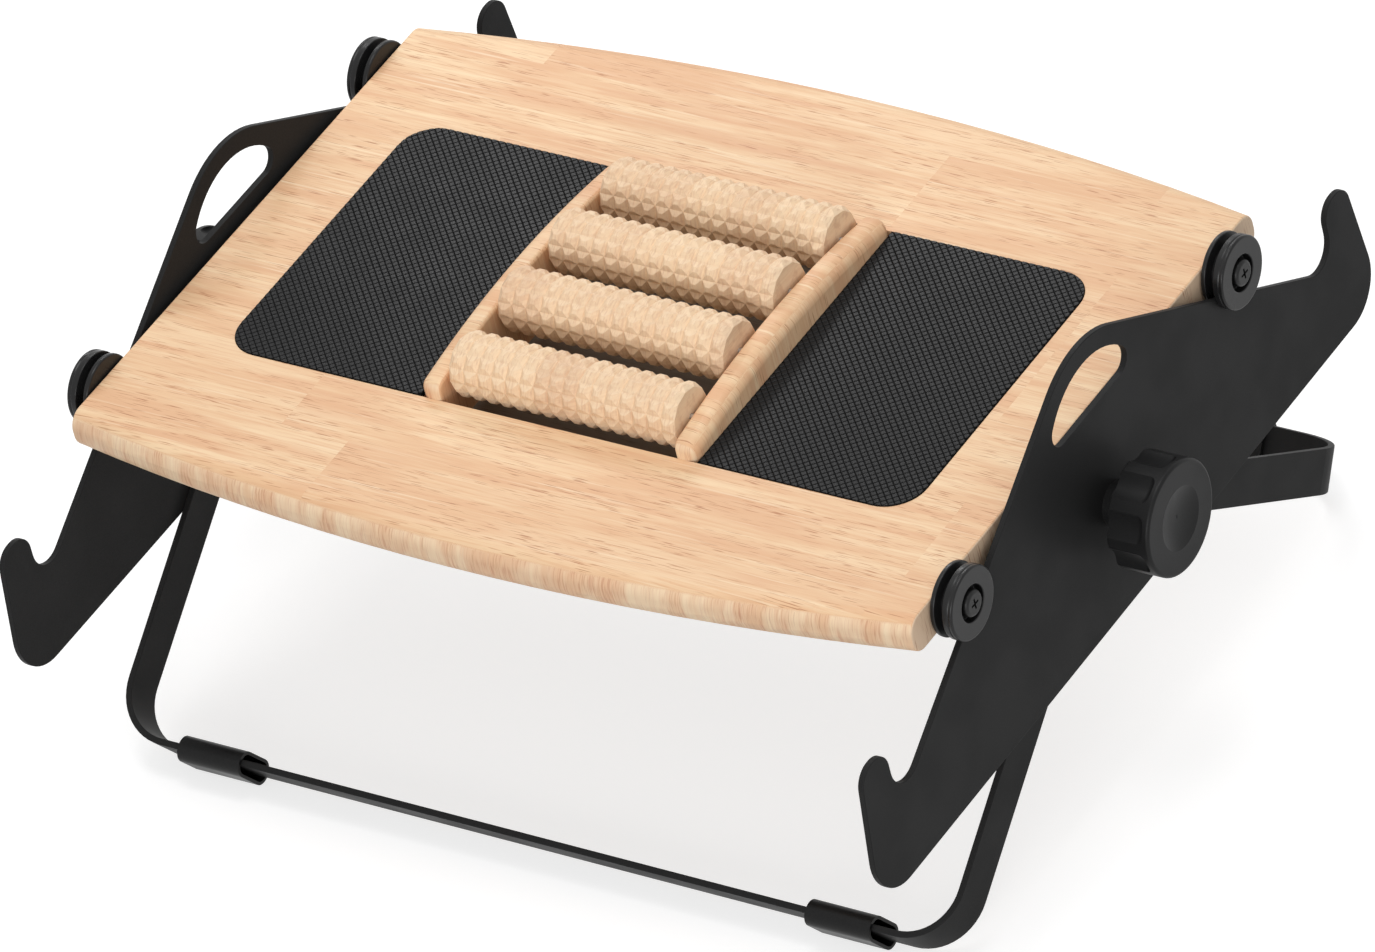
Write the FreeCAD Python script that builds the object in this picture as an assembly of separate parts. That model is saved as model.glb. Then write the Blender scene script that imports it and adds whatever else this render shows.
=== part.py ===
import FreeCAD, Part
import math
import os

os.makedirs("parts", exist_ok=True)

# Rocking footrest: a wooden board with massage rollers runs on four grooved wheels over two steel
# side plates, and two folding leg frames carry the plates. Sizes are in millimetres.
# X points to the right, Y to the back, Z up, and the floor is at Z = 0.

V = FreeCAD.Vector
ORIGIN = V(0, 0, 0)
ALONG_X = V(1, 0, 0)
ALONG_Z = V(0, 0, 1)
HALF_TURN = 180.0
FULL_TURN = 360.0
TINY = 1e-6
SIDES = (("left", -1), ("right", 1))
ENDS = (("front", -1), ("rear", 1))

# Side plates: an inverted V with a round top, a hand hole and a wheel stop hook at each end.
PLATE_T = 3.0
PLATE_EDGE_R = 0.4
TRACK_SLOPE = 31.3
TRACK_APEX_HEIGHT = 151.8
PLATE_TOP_R = 50.0
HOOK_TIP_HEIGHT = 71.2
HOOK_TIP_R = 9.9
HOOK_LEAN = 9.3
PLATE_CORNER_R = 22.0
NOTCH_Y = 179.7
HAND_HOLE_R = 40.5
HAND_HOLE_FLOOR = 108.5
HAND_HOLE_CORNER_R = 7.0
PIVOT_ABOVE_PLATE_EDGE = 54.5

# Wheels: a groove straddles the edge of the plate. The rim at the board is thin, and the outer one
# is wide, with a crease round it.
WHEEL_R = 17.2
WHEEL_INNER = 4.4
WHEEL_OUTER = 7.1
WHEEL_Y = 117.6
GROOVE_R = 11.5
GROOVE_FLOOR_HALF = 1.8
GROOVE_MOUTH_HALF = 2.0
WHEEL_EDGE_R = 1.0
CREASE_FROM_FACE = 2.0
CREASE_HALF_W = 0.6
CREASE_DEPTH = 0.25
TRACK_GAP = 0.3
COUNTERBORE_R = 8.7
COUNTERBORE_DEPTH = 4.5
WHEEL_BORE_GAP = 0.06
AXIAL_PLAY = 0.1

# Wheel bolts, their washers and the threaded inserts in the edge of the board.
BOLT_R = 3.0
BOLT_HEAD_R = 6.3
BOLT_HEAD_T = 5.5
BOLT_HEAD_EDGE_R = 1.6
BOLT_REACH = 12.0
CROSS_SLOT_LENGTH = 5.4
CROSS_SLOT_W = 1.1
CROSS_SLOT_DEPTH = 1.8
WASHER_R = 7.0
WASHER_T = 0.55
INSERT_R = 4.5
INSERT_LENGTH = 13.0

# Board
BOARD_HALF_W = 223.8
BOARD_T = 19.0
BOARD_CORNER_Y = 148.7
BOARD_BULGE = 19.0
BOARD_NOSE_R = 8.0
BOARD_SIDE_EDGE_R = 1.0

# The inlay is one rectangle in the board: mat, cheek, rollers, cheek, mat.
INLAY_MARGIN = 40.3
INLAY_HALF_D = 84.0
INLAY_CORNER_R = 18.0
MAT_T = 2.2
MAT_POCKET_DEPTH = 2.0
MAT_EDGE_GAP = 0.2
CHEEK_OUTER_X = 74.0
CHEEK_T = 11.5
CHEEK_CROWN = 15.3
CHEEK_ARCH_R = 480.0
CHEEK_END_R = 5.0
CHEEK_INNER_EDGE_R = 2.0
CHEEK_OUTER_EDGE_R = 6.0

# Rollers: rings of low pyramids with a small flat top, one piece of wood on a steel rod.
ROLLER_HALF_LENGTH = 60.2
ROLLER_ROOT_R = 13.6
ROLLER_CREASE_R = 14.1
ROLLER_TIP_R = 15.2
ROLLER_RINGS = 16
ROLLER_TEETH = 12
CELL_MIDDLE = 0.5
TOOTH_TOP_HALF = 0.14
ROLLER_Y = (21.4, 64.0)
ROLLER_RISE = (11.0, 7.2)
ROD_R = 1.5
ROD_IN_CHEEK = 8.5
ROLLER_BORE_GAP = 0.08

# Panel that closes the roller bay from below, with its screws.
BAY_FLOOR_T = 3.5
BAY_FLOOR_LAP = 9.0
BAY_FLOOR_CORNER_R = 8.0
FLOOR_SCREW_R = 1.75
FLOOR_SCREW_HEAD_R = 3.5
FLOOR_SCREW_HEAD_T = 1.75
FLOOR_SCREW_LENGTH = 13.0
FLOOR_SCREW_INSET = 4.5

# Leg frames: flat bar bent into a U. Both are equally wide, and they sit one bar apart sideways: the
# front frame is the outer one on the left, and the rear frame is the outer one on the right.
LEG_BAR_W = 21.7
LEG_BAR_T = 3.0
LEG_BEND_R = 27.0
LEG_EDGE_R = 0.4
FRONT_LEG_LENGTH = 211.0
REAR_LEG_LENGTH = 216.0
FRONT_LEG_ANGLE = 36.0

# Rubber foot sleeves on the cross bars.
SLEEVE_LENGTH = 34.0
FRONT_SLEEVE_FROM_ARM = 38.5
REAR_SLEEVE_FROM_ARM = 44.5
SLEEVE_HALF_W = 13.1
SLEEVE_HALF_T = 6.1
SLEEVE_WALL = 1.5

# Pivot: stud, bush, washers and welded nut on one axis at each side.
STUD_R = 4.0
PIVOT_BORE_GAP = 0.08
BUSH_WALL = 1.9
BUSH_FLANGE_R = 11.0
BUSH_FLANGE_T = 0.5
PIVOT_WASHER_T = 0.9
PIVOT_WASHER_R = 10.5
LEG_WASHER_T = 0.5
NUT_ACROSS_FLATS = 13.0
NUT_SIDES = 6
NUT_T = 6.5
STUD_IN_KNOB = 14.0
STUD_PAST_NUT = 1.5

# Knob
KNOB_R = 27.1
KNOB_BODY_T = 22.0
KNOB_RIM_T = 3.0
KNOB_RIM_EDGE_R = 1.6
KNOB_FLUTES = 9
KNOB_FIRST_FLUTE = 35.5
FLUTE_R = 12.0
FLUTE_DEPTH = 2.8
FLUTE_END_R = 3.5
KNOB_BACK_EDGE_R = 1.2
KNOB_HUB_R = 10.5
KNOB_HUB_LENGTH = 11.25
KNOB_DISH_R = 15.0
KNOB_DISH_DEPTH = 2.4

# Derived sizes
PLATE_MID_X = BOARD_HALF_W + WASHER_T + AXIAL_PLAY + WHEEL_INNER
INLAY_HALF_W = BOARD_HALF_W - INLAY_MARGIN
PLATE_IN_X = PLATE_MID_X - PLATE_T / 2
PLATE_OUT_X = PLATE_MID_X + PLATE_T / 2
TRACK_TAN = math.tan(math.radians(TRACK_SLOPE))
TRACK_COS = math.cos(math.radians(TRACK_SLOPE))
WHEEL_OFF_TRACK = GROOVE_R + TRACK_GAP
CHEEK_IN_X = CHEEK_OUTER_X - CHEEK_T
BUSH_R = STUD_R + BUSH_WALL
BOARD_EDGE_Y = BOARD_CORNER_Y + BOARD_BULGE
ROLLERS = (
    ("roller_1", ROLLER_Y[1], ROLLER_RISE[1]),
    ("roller_2", ROLLER_Y[0], ROLLER_RISE[0]),
    ("roller_3", -ROLLER_Y[0], ROLLER_RISE[0]),
    ("roller_4", -ROLLER_Y[1], ROLLER_RISE[1]),
)


def below_pivot(length, angle):
    """How far under the pivot the lowest point of a frame's sleeves is."""
    reach = length - LEG_BAR_T / 2
    slope = math.radians(angle)
    flat = SLEEVE_HALF_W - SLEEVE_HALF_T
    return reach * math.sin(slope) + flat * math.cos(slope) + SLEEVE_HALF_T


# The rear frame is longer, so it stands flatter: its angle is the one that puts it on the same floor.
PIVOT_Z = below_pivot(FRONT_LEG_LENGTH, FRONT_LEG_ANGLE)
REAR_REACH = REAR_LEG_LENGTH - LEG_BAR_T / 2
SLEEVE_FLAT = SLEEVE_HALF_W - SLEEVE_HALF_T
REAR_SWING = math.hypot(REAR_REACH, SLEEVE_FLAT)
REAR_LEG_ANGLE = math.degrees(
    math.asin((PIVOT_Z - SLEEVE_HALF_T) / REAR_SWING) - math.atan2(SLEEVE_FLAT, REAR_REACH)
)
PLATE_EDGE_Z = PIVOT_Z - PIVOT_ABOVE_PLATE_EDGE
TRACK_APEX_Z = PLATE_EDGE_Z + TRACK_APEX_HEIGHT
WHEEL_Z = TRACK_APEX_Z - WHEEL_Y * TRACK_TAN + WHEEL_OFF_TRACK / TRACK_COS
BOARD_TOP_Z = WHEEL_Z + BOARD_T / 2
BOARD_BOTTOM_Z = WHEEL_Z - BOARD_T / 2

# Where things sit along X between the knob and the nut.
BUSH_FLANGE_X = PLATE_IN_X - BUSH_FLANGE_T
OUTER_ARM_X = BUSH_FLANGE_X - AXIAL_PLAY
INNER_ARM_X = OUTER_ARM_X - LEG_BAR_T - LEG_WASHER_T
NUT_X = INNER_ARM_X - LEG_BAR_T
HUB_END_X = PLATE_OUT_X + PIVOT_WASHER_T
KNOB_BACK_X = HUB_END_X + KNOB_HUB_LENGTH
KNOB_FACE_X = KNOB_BACK_X + KNOB_BODY_T


def save(shape, name):
    shape.exportStep("parts/" + name + ".step")


def one_solid(shape):
    """The solid inside a boolean result, so that each file holds plain solids."""
    cleaned = shape.removeSplitter()
    if len(cleaned.Solids) == 1:
        return cleaned.Solids[0]
    return cleaned


def rod_x(radius, x0, x1, y, z):
    """Round bar along X between two stations, whichever is larger."""
    low, high = min(x0, x1), max(x0, x1)
    return Part.makeCylinder(radius, high - low, V(low, y, z), ALONG_X)


def box_between(x0, x1, y0, y1, z0, z1):
    corner = V(min(x0, x1), min(y0, y1), min(z0, z1))
    return Part.makeBox(abs(x1 - x0), abs(y1 - y0), abs(z1 - z0), corner)


def rounded_loop(corners, place):
    """Closed wire through (u, v, radius) corners; place puts u and v in space."""
    joints = []
    count = len(corners)
    for i, (u, v, radius) in enumerate(corners):
        before, after = corners[i - 1], corners[(i + 1) % count]
        back = (before[0] - u, before[1] - v)
        ahead = (after[0] - u, after[1] - v)
        back_size, ahead_size = math.hypot(*back), math.hypot(*ahead)
        back = (back[0] / back_size, back[1] / back_size)
        ahead = (ahead[0] / ahead_size, ahead[1] / ahead_size)
        half = math.acos(back[0] * ahead[0] + back[1] * ahead[1]) / 2
        cut = radius / math.tan(half)
        middle = (back[0] + ahead[0], back[1] + ahead[1])
        middle_size = math.hypot(*middle)
        deep = radius / math.sin(half) - radius
        joints.append((
            place(u + back[0] * cut, v + back[1] * cut),
            place(u + middle[0] / middle_size * deep, v + middle[1] / middle_size * deep),
            place(u + ahead[0] * cut, v + ahead[1] * cut),
            radius,
        ))
    edges = []
    for i, (start, bend, end, radius) in enumerate(joints):
        last = joints[i - 1][2]
        if last.distanceToPoint(start) > TINY:
            edges.append(Part.makeLine(last, start))
        if radius > 0:
            edges.append(Part.Arc(start, bend, end).toShape())
    return Part.Wire(Part.__sortEdges__(edges))


def in_side_view(x):
    """Placer for outlines drawn in the Y-Z plane at one X station."""
    return lambda y, z: V(x, y, z)


def in_plan(z):
    """Placer for outlines drawn in the X-Y plane at one height."""
    return lambda x, y: V(x, y, z)


def fillet_where(shape, radius, wanted):
    """Round every edge that the test picks."""
    return shape.makeFillet(radius, [e for e in shape.Edges if wanted(e)])


def is_circle(edge, radius):
    return isinstance(edge.Curve, Part.Circle) and abs(edge.Curve.Radius - radius) < TINY


# Side plates
def track_height(y):
    """Height of the straight edge that the wheels roll on."""
    return TRACK_APEX_Z - abs(y) * TRACK_TAN


def side_plate(x0):
    top_z = PLATE_EDGE_Z + HOOK_TIP_HEIGHT
    hook_in_y = NOTCH_Y + WHEEL_OFF_TRACK
    hook_out_y = hook_in_y + 2 * HOOK_TIP_R
    foot_y = hook_out_y + HOOK_LEAN
    right = [
        (hook_in_y, track_height(hook_in_y), WHEEL_OFF_TRACK),
        (hook_in_y, top_z, HOOK_TIP_R),
        (hook_out_y, top_z, HOOK_TIP_R * (1 - TINY)),
        (foot_y, PLATE_EDGE_Z, PLATE_CORNER_R),
    ]
    left = [(-y, z, r) for y, z, r in reversed(right)]
    outline = [(0.0, TRACK_APEX_Z, PLATE_TOP_R)] + right + left
    plate = Part.Face(rounded_loop(outline, in_side_view(x0))).extrude(ALONG_X * PLATE_T)
    plate = fillet_where(plate, PLATE_EDGE_R, lambda e: e.BoundBox.XLength < TINY)
    # The hand hole is a segment of a circle about the same centre as the round top.
    top_centre_z = TRACK_APEX_Z - PLATE_TOP_R / TRACK_COS
    floor_z = PLATE_EDGE_Z + HAND_HOLE_FLOOR
    hole = rod_x(HAND_HOLE_R, x0 - PLATE_T, x0 + 2 * PLATE_T, 0, top_centre_z)
    under = box_between(
        x0 - PLATE_T, x0 + 2 * PLATE_T, -2 * HAND_HOLE_R, 2 * HAND_HOLE_R, PLATE_EDGE_Z, floor_z
    )
    hole = hole.cut(under)
    hole = fillet_where(
        hole, HAND_HOLE_CORNER_R,
        lambda e: e.BoundBox.YLength < TINY and e.BoundBox.ZLength < TINY
        and abs(e.BoundBox.ZMin - floor_z) < TINY,
    )
    pivot_hole = rod_x(BUSH_R + PIVOT_BORE_GAP, x0 - PLATE_T, x0 + 2 * PLATE_T, 0, PIVOT_Z)
    return one_solid(plate.cut(hole).cut(pivot_hole))


for side, sign in SIDES:
    save(side_plate(PLATE_IN_X if sign > 0 else -PLATE_OUT_X), side + "_side_plate")


# Wheels
def wheel():
    """Wheel about the X axis, outer face towards +X, middle of the groove at X = 0."""
    bore = BOLT_R + WHEEL_BORE_GAP
    crease = WHEEL_OUTER - CREASE_FROM_FACE
    deep = WHEEL_OUTER - COUNTERBORE_DEPTH
    soft = WHEEL_EDGE_R / 2
    profile = [
        (-WHEEL_INNER, bore, 0.0), (-WHEEL_INNER, WHEEL_R, WHEEL_EDGE_R),
        (-GROOVE_MOUTH_HALF, WHEEL_R, soft), (-GROOVE_FLOOR_HALF, GROOVE_R, 0.0),
        (GROOVE_FLOOR_HALF, GROOVE_R, 0.0), (GROOVE_MOUTH_HALF, WHEEL_R, soft),
        (crease - CREASE_HALF_W, WHEEL_R, WHEEL_EDGE_R), (crease, WHEEL_R - CREASE_DEPTH, 0.0),
        (crease + CREASE_HALF_W, WHEEL_R, WHEEL_EDGE_R), (WHEEL_OUTER, WHEEL_R, WHEEL_EDGE_R),
        (WHEEL_OUTER, COUNTERBORE_R, soft), (deep, COUNTERBORE_R, soft), (deep, bore, 0.0),
    ]
    loop = rounded_loop(profile, lambda x, r: V(x, r, 0))
    return Part.Face(loop).revolve(ORIGIN, ALONG_X, FULL_TURN).Solids[0]


for side, sign in SIDES:
    for end, way in ENDS:
        body = wheel()
        if sign < 0:
            body.rotate(ORIGIN, ALONG_Z, HALF_TURN)
        body.translate(V(sign * PLATE_MID_X, way * WHEEL_Y, WHEEL_Z))
        save(body, end + "_" + side + "_wheel")


def wheel_bolt():
    """Bolt about the X axis with its head towards +X and the seat of the head at X = 0."""
    seat = PLATE_MID_X + WHEEL_OUTER - COUNTERBORE_DEPTH + AXIAL_PLAY
    shank = rod_x(BOLT_R, BOARD_HALF_W - BOLT_REACH - seat, 0, 0, 0)
    head = rod_x(BOLT_HEAD_R, 0, BOLT_HEAD_T, 0, 0)
    head = fillet_where(
        head, BOLT_HEAD_EDGE_R,
        lambda e: is_circle(e, BOLT_HEAD_R) and e.BoundBox.XMin > BOLT_HEAD_T / 2,
    )
    bolt = head.fuse(shank)
    low = BOLT_HEAD_T - CROSS_SLOT_DEPTH
    long_half, thin_half = CROSS_SLOT_LENGTH / 2, CROSS_SLOT_W / 2
    bolt = bolt.cut(box_between(low, BOLT_HEAD_T, -long_half, long_half, -thin_half, thin_half))
    bolt = bolt.cut(box_between(low, BOLT_HEAD_T, -thin_half, thin_half, -long_half, long_half))
    bolt.translate(V(seat, 0, 0))
    return one_solid(bolt)


def washer():
    disc = rod_x(WASHER_R, BOARD_HALF_W, BOARD_HALF_W + WASHER_T, 0, 0)
    hole = rod_x(BOLT_R + WHEEL_BORE_GAP, BOARD_HALF_W - WASHER_R, PLATE_MID_X, 0, 0)
    return disc.cut(hole)


def insert():
    outer = rod_x(INSERT_R, BOARD_HALF_W - INSERT_LENGTH, BOARD_HALF_W, 0, 0)
    return outer.cut(rod_x(BOLT_R, BOARD_HALF_W - INSERT_LENGTH, BOARD_HALF_W, 0, 0))


def at_each_wheel(make):
    """One compound with a copy at each of the four wheels."""
    copies = []
    for _, sign in SIDES:
        for _, way in ENDS:
            piece = make()
            if sign < 0:
                piece.rotate(ORIGIN, ALONG_Z, HALF_TURN)
            piece.translate(V(0, way * WHEEL_Y, WHEEL_Z))
            copies.append(piece)
    return Part.makeCompound(copies)


save(at_each_wheel(wheel_bolt), "wheel_bolts")
save(at_each_wheel(washer), "wheel_washers")
save(at_each_wheel(insert), "edge_inserts")


# Board
def board_outline(z):
    """Straight sides and bowed front and rear edges."""
    w, c, m = BOARD_HALF_W, BOARD_CORNER_Y, BOARD_EDGE_Y
    rear = Part.Arc(V(-w, c, z), V(0, m, z), V(w, c, z)).toShape()
    front = Part.Arc(V(w, -c, z), V(0, -m, z), V(-w, -c, z)).toShape()
    right = Part.makeLine(V(w, c, z), V(w, -c, z))
    left = Part.makeLine(V(-w, -c, z), V(-w, c, z))
    return Part.Wire([rear, right, front, left])


board = Part.Face(board_outline(BOARD_BOTTOM_Z)).extrude(ALONG_Z * BOARD_T)
board = fillet_where(
    board, BOARD_NOSE_R,
    lambda e: e.BoundBox.ZLength < TINY and e.BoundBox.XLength > BOARD_HALF_W,
)
board = fillet_where(board, BOARD_SIDE_EDGE_R, lambda e: e.BoundBox.XLength < TINY)


def inlay_block(x0, x1, low, high, shrink):
    """Mat-shaped block: square towards the rollers, round at its two outer corners."""
    sign = 1 if x1 > 0 else -1
    far = INLAY_HALF_W - shrink
    deep = INLAY_HALF_D - shrink
    near = min(abs(x0), abs(x1))
    corners = [
        (sign * near, deep, 0.0), (sign * far, deep, INLAY_CORNER_R - shrink),
        (sign * far, -deep, INLAY_CORNER_R - shrink), (sign * near, -deep, 0.0),
    ]
    return Part.Face(rounded_loop(corners, in_plan(low))).extrude(ALONG_Z * (high - low))


def inlay_window():
    """Through hole that takes the cheeks and the rollers."""
    return box_between(
        -CHEEK_OUTER_X, CHEEK_OUTER_X, -INLAY_HALF_D, INLAY_HALF_D,
        BOARD_BOTTOM_Z - BOARD_T, BOARD_TOP_Z + BOARD_T,
    )


def floor_screw_places():
    """Four corners and the middle of the two long edges of the bay floor."""
    x = CHEEK_OUTER_X + BAY_FLOOR_LAP - FLOOR_SCREW_INSET
    y = INLAY_HALF_D + BAY_FLOOR_LAP - FLOOR_SCREW_INSET
    across = x - BAY_FLOOR_CORNER_R / 2
    return [(u, v) for u in (-across, 0, across) for v in (-y, y)]


def floor_screw_hole(x, y):
    return Part.makeCylinder(
        FLOOR_SCREW_R, FLOOR_SCREW_LENGTH, V(x, y, BOARD_BOTTOM_Z - BAY_FLOOR_T), ALONG_Z
    )


board = board.cut(inlay_window())
pocket_z = BOARD_TOP_Z - MAT_POCKET_DEPTH
for _, sign in SIDES:
    pocket = inlay_block(
        sign * CHEEK_IN_X, sign * INLAY_HALF_W, pocket_z, BOARD_TOP_Z + MAT_T, 0
    )
    board = board.cut(pocket)
    for _, way in ENDS:
        deep = BOARD_HALF_W - INSERT_LENGTH
        board = board.cut(rod_x(INSERT_R, sign * deep, sign * BOARD_HALF_W, way * WHEEL_Y, WHEEL_Z))
for x, y in floor_screw_places():
    board = board.cut(floor_screw_hole(x, y))
save(one_solid(board), "board")

for side, sign in SIDES:
    mat = inlay_block(
        sign * CHEEK_OUTER_X, sign * INLAY_HALF_W, pocket_z, pocket_z + MAT_T, MAT_EDGE_GAP
    )
    save(mat, side + "_mat")


# Roller bay
def arch_z(y):
    """Top of a cheek at its middle plane."""
    drop = CHEEK_ARCH_R - math.sqrt(CHEEK_ARCH_R ** 2 - y ** 2)
    return BOARD_TOP_Z + CHEEK_CROWN - drop


def cheek(x0):
    d = INLAY_HALF_D
    low = [V(x0, -d, BOARD_BOTTOM_Z), V(x0, d, BOARD_BOTTOM_Z)]
    high = [V(x0, -d, arch_z(d)), V(x0, 0, arch_z(0)), V(x0, d, arch_z(d))]
    loop = Part.Wire([
        Part.makeLine(low[1], low[0]), Part.makeLine(low[0], high[0]),
        Part.Arc(high[0], high[1], high[2]).toShape(), Part.makeLine(high[2], low[1]),
    ])
    block = Part.Face(loop).extrude(ALONG_X * CHEEK_T)
    return fillet_where(
        block, CHEEK_END_R,
        lambda e: e.BoundBox.YLength < TINY and e.BoundBox.XLength > TINY
        and e.BoundBox.ZMin > BOARD_TOP_Z,
    )


def along_the_arch(x):
    """Picks the long upper edges of a cheek on one of its faces."""
    return lambda e: (
        e.BoundBox.XLength < TINY and abs(e.BoundBox.XMin - x) < TINY
        and e.BoundBox.ZMax > BOARD_TOP_Z + CHEEK_END_R / 2
        and isinstance(e.Curve, Part.Circle)
    )


for side, sign in SIDES:
    block = cheek(CHEEK_IN_X if sign > 0 else -CHEEK_OUTER_X)
    block = fillet_where(block, CHEEK_OUTER_EDGE_R, along_the_arch(sign * CHEEK_OUTER_X))
    block = fillet_where(block, CHEEK_INNER_EDGE_R, along_the_arch(sign * CHEEK_IN_X))
    for name, y, rise in ROLLERS:
        block = block.cut(rod_x(
            ROD_R, sign * (CHEEK_IN_X - ROD_R), sign * (CHEEK_IN_X + ROD_IN_CHEEK), y, BOARD_TOP_Z + rise
        ))
    save(one_solid(block), side + "_cheek")


def toothed_roller():
    """Rings of teeth: each has a flat top, four sloping sides and a crease next to its neighbours."""
    pitch = 2 * ROLLER_HALF_LENGTH / ROLLER_RINGS
    turn = 2 * math.pi / ROLLER_TEETH
    near, far = CELL_MIDDLE - TOOTH_TOP_HALF, CELL_MIDDLE + TOOTH_TOP_HALF

    def spot(ring, tooth, radius):
        angle = tooth * turn
        x = -ROLLER_HALF_LENGTH + ring * pitch
        return V(x, radius * math.cos(angle), radius * math.sin(angle))

    def facet(*points):
        return Part.Face(Part.makePolygon(list(points) + [points[0]]))

    faces = []
    for ring in range(ROLLER_RINGS):
        for tooth in range(ROLLER_TEETH):
            low = {}
            top = {}
            for i in (0, 1):
                for j in (0, 1):
                    low[i, j] = spot(ring + i, tooth + j, ROLLER_ROOT_R)
                    top[i, j] = spot(ring + (near, far)[i], tooth + (near, far)[j], ROLLER_TIP_R)
            faces.append(facet(top[0, 0], top[1, 0], top[1, 1], top[0, 1]))
            for i in (0, 1):
                faces.append(facet(low[i, 0], low[i, 1], top[i, 1], top[i, 0]))
            for j in (0, 1):
                crease = spot(ring + CELL_MIDDLE, tooth + j, ROLLER_CREASE_R)
                faces.append(facet(low[0, j], crease, top[0, j]))
                faces.append(facet(crease, top[1, j], top[0, j]))
                faces.append(facet(crease, low[1, j], top[1, j]))
    for ring in (0, ROLLER_RINGS):
        faces.append(facet(*[spot(ring, tooth, ROLLER_ROOT_R) for tooth in range(ROLLER_TEETH)]))
    solid = Part.Solid(Part.Shell(faces))
    if solid.Volume < 0:
        solid.reverse()
    bore = ROD_R + ROLLER_BORE_GAP
    return solid.cut(rod_x(bore, -ROLLER_HALF_LENGTH - pitch, ROLLER_HALF_LENGTH + pitch, 0, 0))


roller = toothed_roller()
for name, y, rise in ROLLERS:
    placed = roller.copy()
    placed.translate(V(0, y, BOARD_TOP_Z + rise))
    save(placed, name)
    rod_half = CHEEK_IN_X + ROD_IN_CHEEK
    save(rod_x(ROD_R, -rod_half, rod_half, y, BOARD_TOP_Z + rise), name + "_rod")

floor_x = CHEEK_OUTER_X + BAY_FLOOR_LAP
floor_y = INLAY_HALF_D + BAY_FLOOR_LAP
floor_z = BOARD_BOTTOM_Z - BAY_FLOOR_T
floor_corners = [
    (floor_x, floor_y, BAY_FLOOR_CORNER_R), (floor_x, -floor_y, BAY_FLOOR_CORNER_R),
    (-floor_x, -floor_y, BAY_FLOOR_CORNER_R), (-floor_x, floor_y, BAY_FLOOR_CORNER_R),
]
bay_floor = Part.Face(rounded_loop(floor_corners, in_plan(floor_z))).extrude(ALONG_Z * BAY_FLOOR_T)
screws = []
for x, y in floor_screw_places():
    head = Part.makeCone(
        FLOOR_SCREW_HEAD_R, FLOOR_SCREW_R, FLOOR_SCREW_HEAD_T, V(x, y, floor_z), ALONG_Z
    )
    screw = head.fuse(floor_screw_hole(x, y))
    bay_floor = bay_floor.cut(screw)
    slot_low = floor_z - CROSS_SLOT_DEPTH / 2
    slot_high = floor_z + CROSS_SLOT_DEPTH / 2
    for long_x in (True, False):
        half_x = CROSS_SLOT_LENGTH / 2 if long_x else CROSS_SLOT_W / 2
        half_y = CROSS_SLOT_W / 2 if long_x else CROSS_SLOT_LENGTH / 2
        screw = screw.cut(
            box_between(x - half_x, x + half_x, y - half_y, y + half_y, slot_low, slot_high)
        )
    screws.append(one_solid(screw))
save(one_solid(bay_floor), "bay_floor")
save(Part.makeCompound(screws), "floor_screws")


# Leg frames and their sleeves
def stand_up(shape, sign, angle):
    """Turn a frame drawn flat, with its legs along +Y, down to the floor at the front or rear."""
    turn = -angle if sign > 0 else HALF_TURN + angle
    shape.rotate(ORIGIN, ALONG_X, turn)
    shape.translate(V(0, 0, PIVOT_Z))
    return shape


def leg_frame(length, left_x, right_x):
    """U of flat bar. X is across, Y runs from the pivot to the cross bar, Z is the bar's width."""
    half = LEG_BAR_W / 2
    inner_r = LEG_BEND_R - LEG_BAR_T
    in_left, in_right, inner_y = left_x + LEG_BAR_T, right_x - LEG_BAR_T, length - LEG_BAR_T
    outline = [
        (left_x, 0, 0.0), (left_x, length, LEG_BEND_R), (right_x, length, LEG_BEND_R), (right_x, 0, 0.0),
        (in_right, 0, 0.0), (in_right, inner_y, inner_r), (in_left, inner_y, inner_r), (in_left, 0, 0.0),
    ]
    frame = Part.Face(rounded_loop(outline, in_plan(-half))).extrude(ALONG_Z * LEG_BAR_W)
    frame = frame.fuse(rod_x(half, left_x, in_left, 0, 0)).fuse(rod_x(half, in_right, right_x, 0, 0))
    frame = fillet_where(one_solid(frame), LEG_EDGE_R, lambda e: e.BoundBox.YMax > half)
    return one_solid(frame.cut(rod_x(STUD_R + PIVOT_BORE_GAP, left_x - half, right_x + half, 0, 0)))


def oval_bar(x0, x1, y, half_y, half_z):
    """Bar along X with a section that is round at its two ends along Z."""
    flat = half_z - half_y
    bar = box_between(x0, x1, y - half_y, y + half_y, -flat, flat)
    return bar.fuse(rod_x(half_y, x0, x1, y, -flat)).fuse(rod_x(half_y, x0, x1, y, flat))


def sleeve(length, x0, x1):
    y = length - LEG_BAR_T / 2
    outer = oval_bar(x0, x1, y, SLEEVE_HALF_T, SLEEVE_HALF_W)
    inner = oval_bar(x0, x1, y, SLEEVE_HALF_T - SLEEVE_WALL, SLEEVE_HALF_W - SLEEVE_WALL)
    return one_solid(outer.cut(inner))


FRONT_ARMS = (-OUTER_ARM_X, INNER_ARM_X)
REAR_ARMS = (-INNER_ARM_X, OUTER_ARM_X)
FRAMES = (
    ("front", -1, FRONT_LEG_LENGTH, FRONT_ARMS, FRONT_LEG_ANGLE, FRONT_SLEEVE_FROM_ARM),
    ("rear", 1, REAR_LEG_LENGTH, REAR_ARMS, REAR_LEG_ANGLE, REAR_SLEEVE_FROM_ARM),
)
for end, way, length, arms, angle, from_arm in FRAMES:
    save(stand_up(leg_frame(length, arms[0], arms[1]), way, angle), end + "_leg_frame")
    for arm_x, (side, sign) in zip(arms, SIDES):
        # The front frame is turned past the vertical, which keeps left on the left.
        outer_x = arm_x - sign * from_arm
        rubber = sleeve(length, outer_x - sign * SLEEVE_LENGTH, outer_x)
        save(stand_up(rubber, way, angle), end + "_" + side + "_sleeve")


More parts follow.
